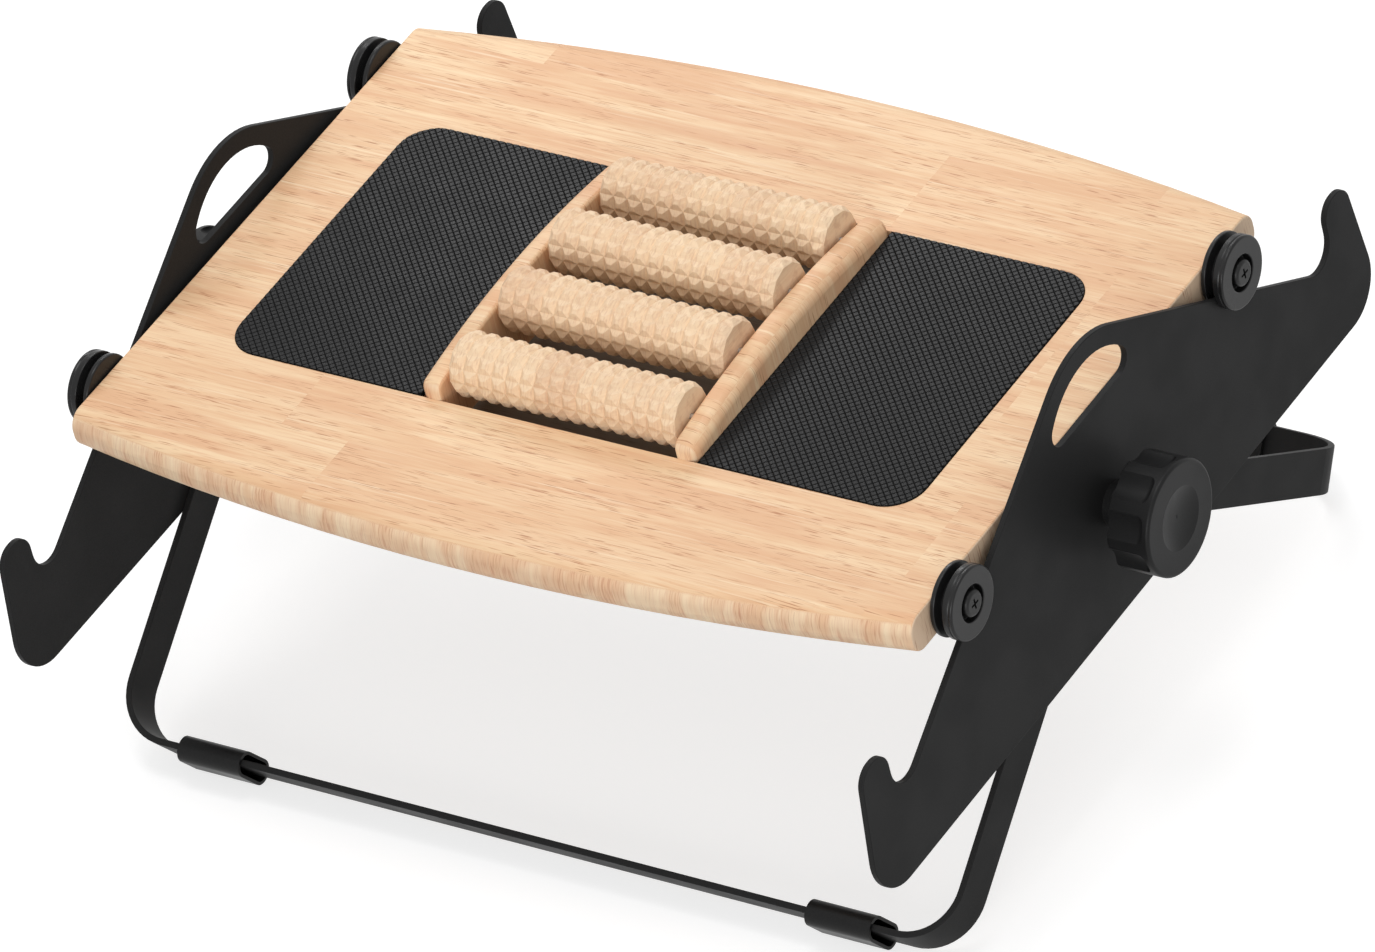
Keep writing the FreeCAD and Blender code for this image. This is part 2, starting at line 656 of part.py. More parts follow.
# Pivots and knobs
def knob():
    """Knob about the X axis with its face towards +X."""
    body = rod_x(KNOB_R, KNOB_BACK_X, KNOB_FACE_X, 0, 0)
    body = fillet_where(
        body, KNOB_BACK_EDGE_R, lambda e: is_circle(e, KNOB_R) and e.BoundBox.XMax < KNOB_BACK_X + TINY
    )
    body = fillet_where(
        body, KNOB_RIM_EDGE_R, lambda e: is_circle(e, KNOB_R) and e.BoundBox.XMin > KNOB_FACE_X - TINY
    )
    # Each flute is a round groove from the back that runs out before it reaches the rim.
    off = KNOB_R + FLUTE_R - FLUTE_DEPTH
    flute_end = KNOB_FACE_X - KNOB_RIM_T
    for i in range(KNOB_FLUTES):
        angle = math.radians(KNOB_FIRST_FLUTE + i * FULL_TURN / KNOB_FLUTES)
        y, z = off * math.cos(angle), off * math.sin(angle)
        groove = rod_x(FLUTE_R, KNOB_BACK_X - KNOB_RIM_T, flute_end, y, z)
        groove = fillet_where(
            groove, FLUTE_END_R,
            lambda e: is_circle(e, FLUTE_R) and e.BoundBox.XMin > flute_end - TINY,
        )
        body = body.cut(groove)
    hub = rod_x(KNOB_HUB_R, HUB_END_X, KNOB_BACK_X, 0, 0)
    dish_ball = (KNOB_DISH_R ** 2 + KNOB_DISH_DEPTH ** 2) / (2 * KNOB_DISH_DEPTH)
    ball = Part.makeSphere(dish_ball, V(KNOB_FACE_X - KNOB_DISH_DEPTH + dish_ball, 0, 0), ALONG_X)
    socket = rod_x(STUD_R, HUB_END_X - STUD_R, KNOB_BACK_X + STUD_IN_KNOB, 0, 0)
    return one_solid(body.fuse(hub).cut(ball).cut(socket))


def at_pivot(shape, sign):
    """Put a piece drawn for the right pivot at either one."""
    placed = shape.copy()
    if sign < 0:
        placed.rotate(ORIGIN, ALONG_Z, HALF_TURN)
    placed.translate(V(0, 0, PIVOT_Z))
    return placed


stud = rod_x(STUD_R, NUT_X - NUT_T - STUD_PAST_NUT, KNOB_BACK_X + STUD_IN_KNOB, 0, 0)
bush = rod_x(BUSH_R, PLATE_IN_X - BUSH_FLANGE_T, PLATE_OUT_X, 0, 0)
bush = bush.fuse(rod_x(BUSH_FLANGE_R, BUSH_FLANGE_X, PLATE_IN_X, 0, 0))
bush = one_solid(bush.cut(rod_x(STUD_R + PIVOT_BORE_GAP, NUT_X, KNOB_FACE_X, 0, 0)))
outer_washer = rod_x(PIVOT_WASHER_R, PLATE_OUT_X, HUB_END_X, 0, 0)
inner_washer = rod_x(PIVOT_WASHER_R, INNER_ARM_X, OUTER_ARM_X - LEG_BAR_T, 0, 0)
stud_room = rod_x(STUD_R + PIVOT_BORE_GAP, NUT_X, KNOB_FACE_X, 0, 0)
outer_washer = outer_washer.cut(stud_room)
inner_washer = inner_washer.cut(stud_room)
nut_turn = 2 * math.pi / NUT_SIDES
nut_corner_r = NUT_ACROSS_FLATS / 2 / math.cos(nut_turn / 2)
hexagon = Part.makePolygon([
    V(NUT_X - NUT_T, nut_corner_r * math.cos(k * nut_turn), nut_corner_r * math.sin(k * nut_turn))
    for k in range(NUT_SIDES + 1)
])
nut = Part.Face(Part.Wire(hexagon)).extrude(ALONG_X * NUT_T)
nut = nut.cut(rod_x(STUD_R + PIVOT_BORE_GAP, NUT_X - 2 * NUT_T, NUT_X + NUT_T, 0, 0))
grip = knob()
for side, sign in SIDES:
    save(at_pivot(grip, sign), side + "_knob")
    save(at_pivot(stud, sign), side + "_knob_stud")
    save(at_pivot(bush, sign), side + "_pivot_bush")
save(Part.makeCompound([at_pivot(outer_washer, s) for _, s in SIDES]), "knob_washers")
save(Part.makeCompound([at_pivot(inner_washer, s) for _, s in SIDES]), "leg_washers")
save(Part.makeCompound([at_pivot(nut, s) for _, s in SIDES]), "pivot_nuts")
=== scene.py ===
"""Looks of the rocking footrest: materials for its CAD nodes, embossed mats, floor, light, camera.

Lengths are in metres, in the frame of the CAD model. Inside materials they are in millimetres, and
so are the names that end in _MM.
"""

import math

import bpy
from mathutils import Matrix, Vector


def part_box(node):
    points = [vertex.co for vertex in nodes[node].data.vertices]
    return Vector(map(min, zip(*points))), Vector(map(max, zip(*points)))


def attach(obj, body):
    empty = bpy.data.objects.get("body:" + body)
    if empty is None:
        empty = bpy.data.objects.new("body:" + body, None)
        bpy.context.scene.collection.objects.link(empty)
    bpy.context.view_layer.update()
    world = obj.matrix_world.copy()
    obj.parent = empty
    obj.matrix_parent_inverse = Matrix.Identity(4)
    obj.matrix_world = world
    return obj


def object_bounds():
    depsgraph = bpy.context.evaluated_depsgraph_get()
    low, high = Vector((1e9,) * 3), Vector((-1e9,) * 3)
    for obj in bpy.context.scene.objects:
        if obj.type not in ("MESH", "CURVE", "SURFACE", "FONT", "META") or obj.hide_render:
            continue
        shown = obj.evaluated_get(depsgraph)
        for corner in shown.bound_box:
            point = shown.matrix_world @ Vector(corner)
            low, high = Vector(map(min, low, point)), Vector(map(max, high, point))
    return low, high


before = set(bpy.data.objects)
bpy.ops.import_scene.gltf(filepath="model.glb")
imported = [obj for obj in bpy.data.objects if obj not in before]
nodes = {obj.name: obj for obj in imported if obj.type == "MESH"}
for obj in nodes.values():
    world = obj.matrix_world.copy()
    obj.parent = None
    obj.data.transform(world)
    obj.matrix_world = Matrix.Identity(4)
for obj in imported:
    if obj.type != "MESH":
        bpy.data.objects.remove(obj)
cad_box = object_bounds()

MM = 1000.0

# Camera: the photograph's viewing angle in degrees. It was taken with a long lens and a tilted
# horizon. The point that it looks at lies AIM_HEIGHT above the frame's origin, and from there
# AIM_RIGHT and AIM_UP across the picture.
PHOTO_WIDTH_PX = 1375
FOCAL_LENGTH_PX = 14222.6
SENSOR_WIDTH_MM = 36.0
CAMERA_AZIMUTH = 41.077
CAMERA_ELEVATION = 38.092
CAMERA_ROLL = -14.591
CAMERA_DISTANCE = 6.398
AIM_RIGHT = -0.00683
AIM_UP = 0.00659
AIM_HEIGHT = 0.08040

# Light: powers are in watts. The floor is a grey of FLOOR_SHADE, and glows by FLOOR_GLOW where the
# camera sees it, so that it looks white there and still keeps a shadow.
WORLD_STRENGTH = 0.50
KEY_POWER = 14.5
KEY_SIZE = (0.9, 0.9)
KEY_PLACE = (0.05, 0.05, 2.1)
RIM_POWER = 2.4
RIM_SIZE = (0.5, 0.15)
RIM_PLACE = (-0.52, 0.74, 0.80)
FILL_POWER = 14.0
FILL_SIZE = (0.8, 0.8)
FILL_PLACE = (0.9, -1.9, 0.7)
FLOOR_SIZE = 12.0
FLOOR_SHADE = 0.50
FLOOR_GLOW = 0.68

SIDES = ("left", "right")
ENDS = ("front", "rear")
ROLLERS = tuple(f"roller_{number}" for number in range(1, 5))


class Material:
    """A node material, with a short call for each kind of node that this scene needs."""

    def __init__(self, name, roughness, specular=0.5):
        self.block = bpy.data.materials.new(name)
        self.block.use_nodes = True
        self.tree = self.block.node_tree
        self.shader = self.tree.nodes["Principled BSDF"]
        self.paint(Roughness=roughness, Specular_IOR_Level=specular)

    def put(self, node, socket, value):
        """Link a socket, or set a plain value on it."""
        if isinstance(value, bpy.types.NodeSocket):
            self.tree.links.new(value, node.inputs[socket])
        else:
            node.inputs[socket].default_value = value

    def paint(self, **values):
        """Values for the shader's own sockets, with _ for a space in their names."""
        for name, value in values.items():
            self.put(self.shader, name.replace("_", " "), value)

    def math(self, operation, a, b=0.0):
        node = self.tree.nodes.new("ShaderNodeMath")
        node.operation = operation
        self.put(node, 0, a)
        self.put(node, 1, b)
        return node.outputs[0]

    def times(self, a, b):
        return self.math("MULTIPLY", a, b)

    def ramp(self, value, between, to=(0.0, 1.0)):
        """The first number of between becomes the first of to, and the second the second.

        Values in between change smoothly, and those beyond stay at the ends.
        """
        node = self.tree.nodes.new("ShaderNodeMapRange")
        node.interpolation_type = "SMOOTHSTEP"
        for socket, given in enumerate((value, *between, *to)):
            self.put(node, socket, given)
        return node.outputs[0]

    def blend(self, share, a, b):
        """a where share is 0 and b where it is 1, for numbers."""
        node = self.tree.nodes.new("ShaderNodeMix")
        node.data_type = "FLOAT"
        self.put(node, 0, share)
        self.put(node, 2, a)
        self.put(node, 3, b)
        return node.outputs[0]

    def mix(self, share, a, b):
        """a where share is 0 and b where it is 1, for colours."""
        node = self.tree.nodes.new("ShaderNodeMix")
        node.data_type = "RGBA"
        self.put(node, 0, share)
        self.put(node, 6, colour(a))
        self.put(node, 7, colour(b))
        return node.outputs[2]

    def veil(self, base, tint, noise, between, share=(0.0, 1.0)):
        """A base colour with a tint over it, whose share follows the noise."""
        return self.mix(self.ramp(noise, between, share), base, tint)

    def join(self, x, y, z):
        node = self.tree.nodes.new("ShaderNodeCombineXYZ")
        for socket, given in enumerate((x, y, z)):
            self.put(node, socket, given)
        return node.outputs[0]

    def split(self, vector):
        node = self.tree.nodes.new("ShaderNodeSeparateXYZ")
        self.put(node, 0, vector)
        return node.outputs

    def place(self):
        """x, y and z on the piece, in millimetres. They move with it."""
        node = self.tree.nodes.new("ShaderNodeTexCoord")
        scaled = self.tree.nodes.new("ShaderNodeVectorMath")
        scaled.operation = "SCALE"
        self.put(scaled, 0, node.outputs["Object"])
        self.put(scaled, "Scale", MM)
        return self.split(scaled.outputs[0])

    def facing(self):
        """x, y and z of the surface's direction, on the piece."""
        node = self.tree.nodes.new("ShaderNodeTexCoord")
        return self.split(node.outputs["Normal"])

    def noise(self, x, y, z, detail, roughness=0.5):
        node = self.tree.nodes.new("ShaderNodeTexNoise")
        self.put(node, "Vector", self.join(x, y, z))
        self.put(node, "Scale", 1.0)
        self.put(node, "Detail", detail)
        self.put(node, "Roughness", roughness)
        return node.outputs[0]

    def spots(self, axes, lengths, detail, roughness=0.5, jump=None):
        """Noise with spots of these lengths along the axes, shifted along the first one by jump."""
        first, second, third = (self.math("DIVIDE", *pair) for pair in zip(axes, lengths))
        if jump is not None:
            first = self.math("ADD", first, jump)
        return self.noise(first, second, third, detail, roughness)

    def cell(self, value, start, length):
        """The whole number of the cell that a value lies in. Cell 0 begins at -start."""
        return self.math("FLOOR", self.math("DIVIDE", self.math("ADD", value, start), length))

    def chance(self, x, y):
        """A number from 0 to 1 that differs from one whole x and y to the next."""
        node = self.tree.nodes.new("ShaderNodeTexWhiteNoise")
        node.noise_dimensions = "2D"
        self.put(node, "Vector", self.join(x, y, 0.0))
        return node.outputs["Value"]

    def bump(self, height, depth_mm, strength):
        node = self.tree.nodes.new("ShaderNodeBump")
        self.put(node, "Strength", strength)
        self.put(node, "Distance", depth_mm / MM)
        self.put(node, "Height", height)
        self.paint(Normal=node.outputs[0])


def colour(value):
    """Three numbers become four, and a socket stays as it is."""
    if isinstance(value, bpy.types.NodeSocket):
        return value
    return (*value, 1.0)


def dress(material, *names):
    """Give CAD nodes a material."""
    for name in names:
        mesh = nodes[name].data
        if not mesh.materials:
            mesh.materials.append(material.block)
        for slot in nodes[name].material_slots:
            slot.material = material.block


# Wood of the board, the cheeks and the bay's floor: its staves, the size of the bay, and how far a
# surface turns away from the top before it counts as an edge or a side
STAVE_WIDTH_MM = 52.0
STAVE_LENGTH_MM = 330.0
STAVE_START_MM = 17.0
STAVE_SEED = 3.0
STAVE_JUMP = 40.0
BAY_HALF_X_MM = 74.2
BAY_HALF_Y_MM = 83.9
TURNED = (0.60, 0.72)

# Shares of the wood's colours where they are strongest
STAVE_SHARE = 0.35
EDGE_SHARE = 0.35
# The share on the sides is painted light: it lightens the board's left and right ends.
SIDE_LIGHT_SHARE = 0.8
FLAME_SHARE = 0.8
PORE_SHARE = 0.8

# How much of the pores is left on the edges, and how high the streaks stand compared with the pores
EDGE_PORES = 0.4
STREAK_RELIEF = 0.6


def wood(name, cream, light, tan, pink, heart, pore, edge_and_lit_side):
    """Light hardwood with its grain along X on top and upright on the front and rear edges.

    The cheeks of the roller bay have it across their length, and upright on their sides.
    """
    m = Material(name, roughness=0.46, specular=0.3)
    x, y, z = m.place()
    toward_x, toward_y = (m.math("ABSOLUTE", part) for part in m.facing()[:2])
    on_edge = m.ramp(toward_y, between=TURNED)
    sideways = m.ramp(toward_x, between=TURNED)
    in_bay = m.times(
        m.math("LESS_THAN", m.math("ABSOLUTE", x), BAY_HALF_X_MM),
        m.math("LESS_THAN", m.math("ABSOLUTE", y), BAY_HALF_Y_MM),
    )
    on_cheek = m.times(in_bay, sideways)
    on_side = m.times(m.math("SUBTRACT", 1.0, in_bay), sideways)
    along = m.blend(m.math("MAXIMUM", on_edge, on_cheek), x, z)
    across = m.blend(on_edge, y, x)
    deep = m.blend(on_edge, m.blend(on_cheek, z, x), y)

    # Staves are glued side by side, each row with its butt joints elsewhere.
    row = m.cell(y, STAVE_START_MM, STAVE_WIDTH_MM)
    slide = m.times(m.chance(row, STAVE_SEED), STAVE_LENGTH_MM)
    column = m.cell(x, slide, STAVE_LENGTH_MM)
    stave = m.chance(row, column)
    jump = m.times(stave, STAVE_JUMP)

    def grain(length, width, detail, roughness=0.5):
        """Noise drawn out along the grain."""
        return m.spots((along, across, deep), (length, width, length), detail, roughness, jump)

    broad = grain(length=170.0, width=22.0, detail=2.0)
    clouds = grain(length=90.0, width=7.0, detail=3.0, roughness=0.6)
    streaks = grain(length=45.0, width=1.3, detail=3.0, roughness=0.6)
    creams = grain(length=85.0, width=1.9, detail=2.0)
    hairs = grain(length=11.0, width=0.42, detail=0.0)
    crowd = grain(length=40.0, width=6.0, detail=2.0)

    base = m.veil(pink, tan, clouds, between=(0.32, 0.52))
    base = m.veil(base, light, clouds, between=(0.50, 0.66))
    base = m.veil(base, pink, broad, between=(0.36, 0.50), share=(0.8, 0.0))
    base = m.veil(base, light, broad, between=(0.50, 0.64), share=(0.0, 0.7))
    base = m.mix(m.times(stave, STAVE_SHARE), base, pink)
    base = m.veil(base, pink, streaks, between=(0.34, 0.54), share=(0.60, 0.0))
    base = m.veil(base, cream, creams, between=(0.60, 0.78), share=(0.0, 0.60))
    # The front and rear edges take some of the edge colour. The ends away from the bay take much of
    # it, as painted light on those ends.
    edge_and_side_light_share = m.math("MAXIMUM", m.times(on_edge, EDGE_SHARE), m.times(on_side, SIDE_LIGHT_SHARE))
    base = m.mix(edge_and_side_light_share, base, edge_and_lit_side)

    # The front and rear edges have upright bands, and reddish stripes that come and go with them.
    stripes = m.spots((x, z, y), (0.65, 12.0, 12.0), detail=1.0)
    bands = m.spots((x, z, y), (9.0, 40.0, 40.0), detail=3.0)
    cream_band = m.ramp(bands, between=(0.36, 0.54), to=(0.5, 0.0))
    pink_band = m.ramp(bands, between=(0.50, 0.66), to=(0.0, 0.4))
    base = m.mix(m.times(on_edge, cream_band), base, cream)
    base = m.mix(m.times(on_edge, pink_band), base, pink)
    swell = m.ramp(bands, between=(0.42, 0.60), to=(0.3, 1.0))
    flame = m.times(m.ramp(stripes, between=(0.50, 0.68)), swell)
    base = m.mix(m.times(m.times(flame, on_edge), FLAME_SHARE), base, heart)

    # Pores are fine dark hairs that stand closer together in some places.
    crowded = m.ramp(crowd, between=(0.40, 0.60), to=(0.12, 1.0))
    pores = m.times(m.ramp(hairs, between=(0.62, 0.74)), crowded)
    pores = m.times(pores, m.blend(on_edge, 1.0, EDGE_PORES))
    base = m.mix(m.times(pores, PORE_SHARE), base, pore)
    sheen = m.ramp(streaks, between=(0.3, 0.7), to=(0.52, 0.42))
    m.paint(Base_Color=base, Roughness=sheen)
    relief = m.math("SUBTRACT", m.times(streaks, STREAK_RELIEF), pores)
    m.bump(relief, depth_mm=0.02, strength=0.4)
    return m


# Rollers: the short lengths of wood that they are glued up from, and how far apart they lie
ROLLER_PIECE_MM = 22.6
ROLLER_PIECE_START_MM = 60.2
ROLLER_SPACING_MM = 42.7
ROLLER_JUMP = 60.0


def roller_wood():
    """Turned rings of pale wood, glued up from short lengths that differ a little."""
    dark, light = (0.77, 0.53, 0.345), (0.865, 0.645, 0.43)
    cloud, line = (0.92, 0.72, 0.50), (0.66, 0.42, 0.265)
    m = Material("roller_wood", roughness=0.55, specular=0.3)
    place = m.place()
    x, y, _ = place
    piece = m.cell(x, ROLLER_PIECE_START_MM, ROLLER_PIECE_MM)
    row = m.cell(y, 2 * ROLLER_SPACING_MM, ROLLER_SPACING_MM)
    tint = m.chance(piece, row)
    jump = m.times(tint, ROLLER_JUMP)
    lines = m.spots(place, (0.8, 5.0, 5.0), detail=2.0, roughness=0.6, jump=jump)
    clouds = m.spots(place, (16.0, 9.0, 1.0), detail=2.0, jump=jump)
    base = m.veil(dark, light, tint, between=(0.1, 0.9))
    base = m.veil(base, cloud, clouds, between=(0.35, 0.65), share=(0.0, 0.5))
    base = m.veil(base, line, lines, between=(0.46, 0.68), share=(0.0, 0.52))
    m.paint(Base_Color=base)
    m.bump(lines, depth_mm=0.05, strength=0.4)
    return m


# Mats: where the CAD model has their top, the radius of their outer corners, and their texture
MAT_TOP_MM = 184.21
MAT_CORNER_R = 0.0178
MAT_CORNER_STEPS = 6
GRIT_PER_MM = 2.2
GRIT_SHEEN = 0.04
SCUFF_MM = 22.0
GROOVE_ROUGHNESS = 0.8

# The mats are embossed with square pillows that stand on their corners, in columns. A pillow's
# rings, from the lowest up, each have a width as a share of the pillow's cell, and a height over
# the mat. A pillow that the mat's border cuts down to less than the least share is left out.
PILLOW_PITCH = 0.0028
PILLOW_CORNERS = ((-1, -1), (1, -1), (1, 1), (-1, 1))
PILLOW_RINGS = ((0.95, -0.0001), (0.88, 0.00032), (0.66, 0.0005))
PILLOW_HEIGHT_MM = PILLOW_RINGS[-1][1] * MM
PILLOW_LEAST_SHARE = 0.2


def mat_rubber():
    """Black sheet, with painted shade in the grooves between its pillows."""
    painted_groove_shade, crown = (0.002, 0.002, 0.002), (0.019, 0.019, 0.0195)
    m = Material("mat_rubber", roughness=0.26, specular=0.07)
    x, y, z = m.place()
    grit = m.noise(m.times(x, GRIT_PER_MM), m.times(y, GRIT_PER_MM), z, detail=2.0)
    scuffs = m.noise(m.math("DIVIDE", x, SCUFF_MM), m.math("DIVIDE", y, SCUFF_MM), 0.0, detail=3.0)
    rise = m.ramp(z, between=(MAT_TOP_MM, MAT_TOP_MM + PILLOW_HEIGHT_MM))
    worn = m.ramp(scuffs, between=(0.35, 0.65), to=(0.24, 0.28))
    sheen = m.math("ADD", worn, m.times(grit, GRIT_SHEEN))
    # Painted shade: the low parts between the pillows are coloured near black, and the crowns keep
    # the sheet's own black.
    m.paint(Base_Color=m.mix(rise, painted_groove_shade, crown), Roughness=m.blend(rise, GROOVE_ROUGHNESS, sheen))
    m.bump(grit, depth_mm=0.006, strength=0.5)
    return m


# Black finishes: the length of the patches in their sheen, and how much rougher and smoother
# than the mean these are
PATCH_MM = 35.0
PATCH_SPREAD = 0.05


def black_finish(name, base, roughness, grain_mm, depth_mm, specular, uneven=0.15):
    """Dark paint or plastic with a fine grain and a slightly uneven sheen."""
    m = Material(name, roughness, specular)
    place = m.place()
    grain = m.spots(place, (grain_mm, grain_mm, grain_mm), detail=3.0)
    patches = m.spots(place, (PATCH_MM, PATCH_MM, PATCH_MM), detail=2.0)
    low = tuple(part * (1 - uneven) for part in base)
    high = tuple(part * (1 + uneven) for part in base)
    limits = (roughness - PATCH_SPREAD, roughness + PATCH_SPREAD)
    sheen = m.ramp(patches, between=(0.3, 0.7), to=limits)
    m.paint(Base_Color=m.veil(low, high, grain, between=(0.35, 0.65)), Roughness=sheen)
    m.bump(grain, depth_mm, strength=0.6)
    return m


def steel(name):
    """Zinc-plated steel with fine turning marks."""
    dark, bright = (0.50, 0.51, 0.53), (0.66, 0.67, 0.69)
    m = Material(name, roughness=0.32)
    marks = m.spots(m.place(), (0.25, 6.0, 6.0), detail=2.0)
    base = m.veil(dark, bright, marks, between=(0.3, 0.7))
    sheen = m.ramp(marks, between=(0.3, 0.7), to=(0.26, 0.40))
    m.paint(Metallic=1.0, Base_Color=base, Roughness=sheen)
    m.bump(marks, depth_mm=0.02, strength=0.4)
    return m


board_wood = wood(
    "board_wood", cream=(0.95, 0.775, 0.545), light=(0.90, 0.67, 0.425), tan=(0.84, 0.57, 0.34),
    pink=(0.76, 0.45, 0.258), heart=(0.64, 0.33, 0.20), pore=(0.46, 0.19, 0.09),
    edge_and_lit_side=(0.84, 0.64, 0.46),
)
# Painted shade: the bay's floor is coloured far darker than the board, standing for the shade in
# the gaps under the rollers.
floor_wood = wood(
    "floor_wood", cream=(0.29, 0.25, 0.20), light=(0.27, 0.23, 0.18), tan=(0.24, 0.205, 0.165),
    pink=(0.21, 0.175, 0.14), heart=(0.15, 0.12, 0.09), pore=(0.10, 0.07, 0.05),
    edge_and_lit_side=(0.23, 0.195, 0.155),
)
frame_paint = black_finish(
    "frame_paint", (0.0205, 0.0205, 0.0207), roughness=0.48, grain_mm=0.35, depth_mm=0.03,
    specular=0.06,
)
wheel_plastic = black_finish(
    "wheel_plastic", (0.012, 0.012, 0.0123), roughness=0.30, grain_mm=0.5, depth_mm=0.008,
    specular=0.24, uneven=0.08,
)
knob_plastic = black_finish(
    "knob_plastic", (0.012, 0.012, 0.0122), roughness=0.46, grain_mm=0.4, depth_mm=0.03,
    specular=0.15,
)
sleeve_rubber = black_finish(
    "sleeve_rubber", (0.008, 0.008, 0.0082), roughness=0.38, grain_mm=0.8, depth_mm=0.03,
    specular=0.18,
)
nylon = black_finish(
    "bush_nylon", (0.012, 0.012, 0.012), roughness=0.45, grain_mm=0.5, depth_mm=0.02,
    specular=0.2,
)
black_steel = black_finish(
    "black_steel", (0.008, 0.008, 0.008), roughness=0.40, grain_mm=0.4, depth_mm=0.01,
    specular=0.3,
)
zinc = steel("bright_steel")
mat_black = mat_rubber()

dress(board_wood, "board", "left_cheek", "right_cheek")
dress(floor_wood, "bay_floor")
dress(roller_wood(), *ROLLERS)
dress(mat_black, "left_mat", "right_mat")
dress(frame_paint, "left_side_plate", "right_side_plate", "front_leg_frame", "rear_leg_frame")
dress(wheel_plastic, *(f"{end}_{side}_wheel" for end in ENDS for side in SIDES))
dress(knob_plastic, *(f"{side}_knob" for side in SIDES))
dress(sleeve_rubber, *(f"{end}_{side}_sleeve" for end in ENDS for side in SIDES))
dress(nylon, "wheel_washers", "knob_washers", "leg_washers")
dress(nylon, *(f"{side}_pivot_bush" for side in SIDES))
dress(black_steel, "wheel_bolts")
dress(zinc, "floor_screws", "edge_inserts", "pivot_nuts")
dress(zinc, *(f"{side}_knob_stud" for side in SIDES))
dress(zinc, *(f"{roller}_rod" for roller in ROLLERS))


def mat_outline(name):
    """A mat's corners seen from above, anticlockwise, with its two outer corners rounded."""
    low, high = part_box(name)
    near, far = sorted((abs(low[0]), abs(high[0])))
    points = [Vector((near, high[1])), Vector((near, low[1]))]
    for quarter, y in ((-1, low[1] + MAT_CORNER_R), (0, high[1] - MAT_CORNER_R)):
        for step in range(MAT_CORNER_STEPS + 1):
            angle = (quarter + step / MAT_CORNER_STEPS) * math.pi / 2
            out = Vector((math.cos(angle), math.sin(angle)))
            points.append(Vector((far - MAT_CORNER_R, y)) + out * MAT_CORNER_R)
    if low[0] < 0:
        points = [Vector((-point.x, point.y)) for point in reversed(points)]
    return points


def sides_of(shape):
    """Each corner of a closed shape with the next one."""
    return zip(shape, shape[1:] + shape[:1])


def clipped(shape, outline):
    """What is left of a flat shape inside a convex outline."""
    for start, end in sides_of(outline):
        inward = Vector((start.y - end.y, end.x - start.x))
        kept = []
        for a, b in sides_of(shape):
            depth_a, depth_b = inward.dot(a - start), inward.dot(b - start)
            if depth_a >= 0:
                kept.append(a)
            if depth_a * depth_b < 0:
                kept.append(a.lerp(b, depth_a / (depth_a - depth_b)))
        shape = kept
    return shape


def flat_area(shape):
    return sum(a.cross(b) for a, b in sides_of(shape)) / 2


def add_pillow(points, faces, shape, top):
    """One low cushion over a flat shape: rings that shrink as they rise, closed at both ends."""
    middle = sum(shape, Vector((0, 0))) / len(shape)
    count = len(shape)
    first = len(points)
    for scale, rise in PILLOW_RINGS:
        for corner in shape:
            place = middle + (corner - middle) * scale
            points.append((place.x, place.y, top + rise))
    for ring in range(len(PILLOW_RINGS) - 1):
        low = first + ring * count
        for i in range(count):
            after = (i + 1) % count
            faces.append((low + i, low + after, low + count + after, low + count + i))
    faces.append(tuple(reversed(range(first, first + count))))
    faces.append(tuple(range(len(points) - count, len(points))))


def make_pillows(mat):
    """All the pillows of one mat in one mesh. Those at its border are cut to the outline."""
    outline = mat_outline(mat)
    low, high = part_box(mat)
    middle = Vector((low[0] + high[0], low[1] + high[1])) / 2
    across = Vector((1, 1)).normalized() * PILLOW_PITCH
    along = Vector((-1, 1)).normalized() * PILLOW_PITCH
    reach = math.ceil((high[0] - low[0] + high[1] - low[1]) / PILLOW_PITCH / 2)
    points = []
    faces = []
    for i in range(-reach, reach + 1):
        for j in range(-reach, reach + 1):
            centre = middle + across * i + along * j
            cell = [centre + (across * u + along * v) / 2 for u, v in PILLOW_CORNERS]
            shape = clipped(cell, outline)
            if len(shape) > 2 and flat_area(shape) > PILLOW_LEAST_SHARE * PILLOW_PITCH ** 2:
                add_pillow(points, faces, shape, high[2])
    mesh = bpy.data.meshes.new(mat + "_pillows")
    mesh.from_pydata(points, [], faces)
    pillows = bpy.data.objects.new(mat + "_pillows", mesh)
    bpy.context.scene.collection.objects.link(pillows)
    mesh.materials.append(mat_black.block)
    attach(pillows, "board")


for mat in ("left_mat", "right_mat"):
    make_pillows(mat)


def seen_directly(tree):
    """1 for rays that reach the camera straight, by a mirror or through glass, and 0 for light."""
    path = tree.nodes.new("ShaderNodeLightPath")
    total = path.outputs["Is Camera Ray"]
    for name in ("Is Glossy Ray", "Is Transmission Ray"):
        add = tree.nodes.new("ShaderNodeMath")
        add.operation = "MAXIMUM"
        tree.links.new(total, add.inputs[0])
        tree.links.new(path.outputs[name], add.inputs[1])
        total = add.outputs[0]
    return total


def make_world():
    """Even white light all round, and a white background."""
    world = bpy.data.worlds.new("studio")
    bpy.context.scene.world = world
    world.use_nodes = True
    tree = world.node_tree
    background = tree.nodes["Background"]
    strength = tree.nodes.new("ShaderNodeMapRange")
    strength.inputs["To Min"].default_value = WORLD_STRENGTH
    strength.inputs["To Max"].default_value = 1.0
    tree.links.new(seen_directly(tree), strength.inputs["Value"])
    tree.links.new(strength.outputs[0], background.inputs["Strength"])
    background.inputs["Color"].default_value = (1, 1, 1, 1)


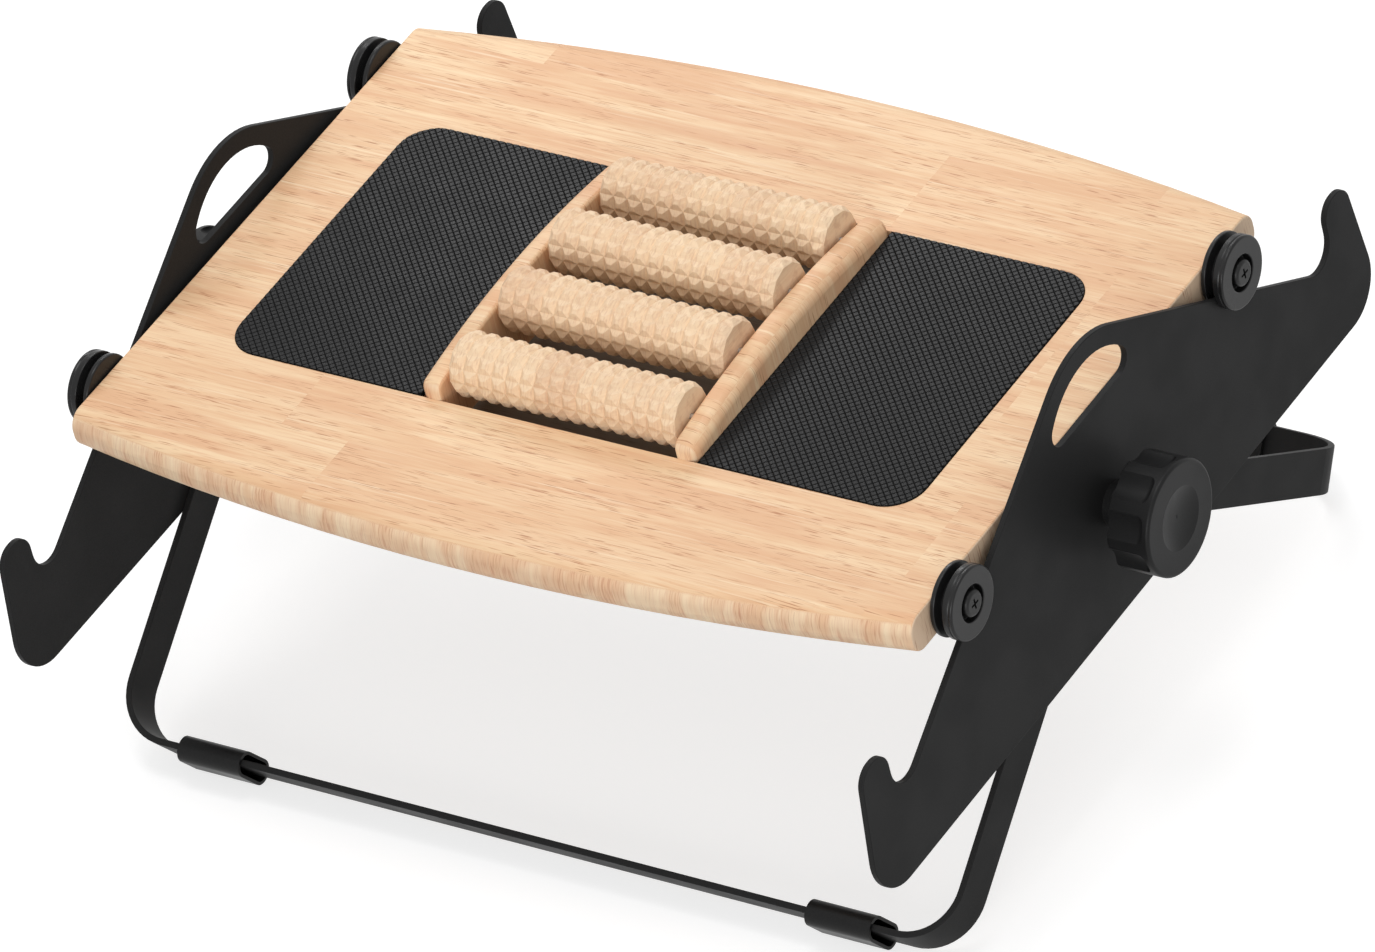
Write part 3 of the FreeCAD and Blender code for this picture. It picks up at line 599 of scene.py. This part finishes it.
def make_floor():
    """Pale floor that looks white and keeps a soft shadow."""
    half = FLOOR_SIZE / 2
    mesh = bpy.data.meshes.new("studio_floor")
    corners = [(-half, -half, 0), (half, -half, 0), (half, half, 0), (-half, half, 0)]
    mesh.from_pydata(corners, [], [(0, 1, 2, 3)])
    floor = bpy.data.objects.new("studio_floor", mesh)
    bpy.context.scene.collection.objects.link(floor)
    material = bpy.data.materials.new("studio_floor")
    material.use_nodes = True
    tree = material.node_tree
    tree.nodes.remove(tree.nodes["Principled BSDF"])
    diffuse = tree.nodes.new("ShaderNodeBsdfDiffuse")
    diffuse.inputs["Color"].default_value = (FLOOR_SHADE, FLOOR_SHADE, FLOOR_SHADE, 1)
    glow = tree.nodes.new("ShaderNodeEmission")
    strength = tree.nodes.new("ShaderNodeMath")
    strength.operation = "MULTIPLY"
    strength.inputs[1].default_value = FLOOR_GLOW
    tree.links.new(seen_directly(tree), strength.inputs[0])
    tree.links.new(strength.outputs[0], glow.inputs["Strength"])
    both = tree.nodes.new("ShaderNodeAddShader")
    tree.links.new(diffuse.outputs[0], both.inputs[0])
    tree.links.new(glow.outputs[0], both.inputs[1])
    tree.links.new(both.outputs[0], tree.nodes["Material Output"].inputs["Surface"])
    mesh.materials.append(material)


def make_lamp(name, power, size, place):
    """Soft light from a rectangle that points at the middle of the footrest."""
    data = bpy.data.lights.new(name, "AREA")
    data.shape = "RECTANGLE"
    data.energy = power
    data.size, data.size_y = size
    lamp = bpy.data.objects.new(name, data)
    bpy.context.scene.collection.objects.link(lamp)
    lamp.location = place
    middle = (Vector(cad_box[0]) + Vector(cad_box[1])) / 2
    lamp.rotation_euler = (middle - lamp.location).to_track_quat("-Z", "Y").to_euler()


def make_camera():
    """The photograph's own view of the footrest."""
    azimuth = math.radians(CAMERA_AZIMUTH)
    elevation = math.radians(CAMERA_ELEVATION)
    roll = math.radians(CAMERA_ROLL)
    back = Vector((
        math.cos(elevation) * math.sin(azimuth),
        -math.cos(elevation) * math.cos(azimuth),
        math.sin(elevation),
    ))
    level = Vector((math.cos(azimuth), math.sin(azimuth), 0))
    upright = back.cross(level)
    right = level * math.cos(roll) + upright * math.sin(roll)
    up = upright * math.cos(roll) - level * math.sin(roll)
    data = bpy.data.cameras.new("camera")
    data.sensor_fit = "HORIZONTAL"
    data.sensor_width = SENSOR_WIDTH_MM
    data.lens = FOCAL_LENGTH_PX / PHOTO_WIDTH_PX * SENSOR_WIDTH_MM
    camera = bpy.data.objects.new("camera", data)
    bpy.context.scene.collection.objects.link(camera)
    place = right * AIM_RIGHT + up * AIM_UP + back * CAMERA_DISTANCE + Vector((0, 0, AIM_HEIGHT))
    turned = Matrix((right, up, back)).transposed().to_4x4()
    camera.matrix_world = Matrix.Translation(place) @ turned
    bpy.context.scene.camera = camera


make_world()
make_floor()
make_lamp("key_light", KEY_POWER, KEY_SIZE, KEY_PLACE)
make_lamp("rim_light", RIM_POWER, RIM_SIZE, RIM_PLACE)
make_lamp("fill_light", FILL_POWER, FILL_SIZE, FILL_PLACE)
make_camera()
bpy.context.scene.view_settings.view_transform = "Standard"
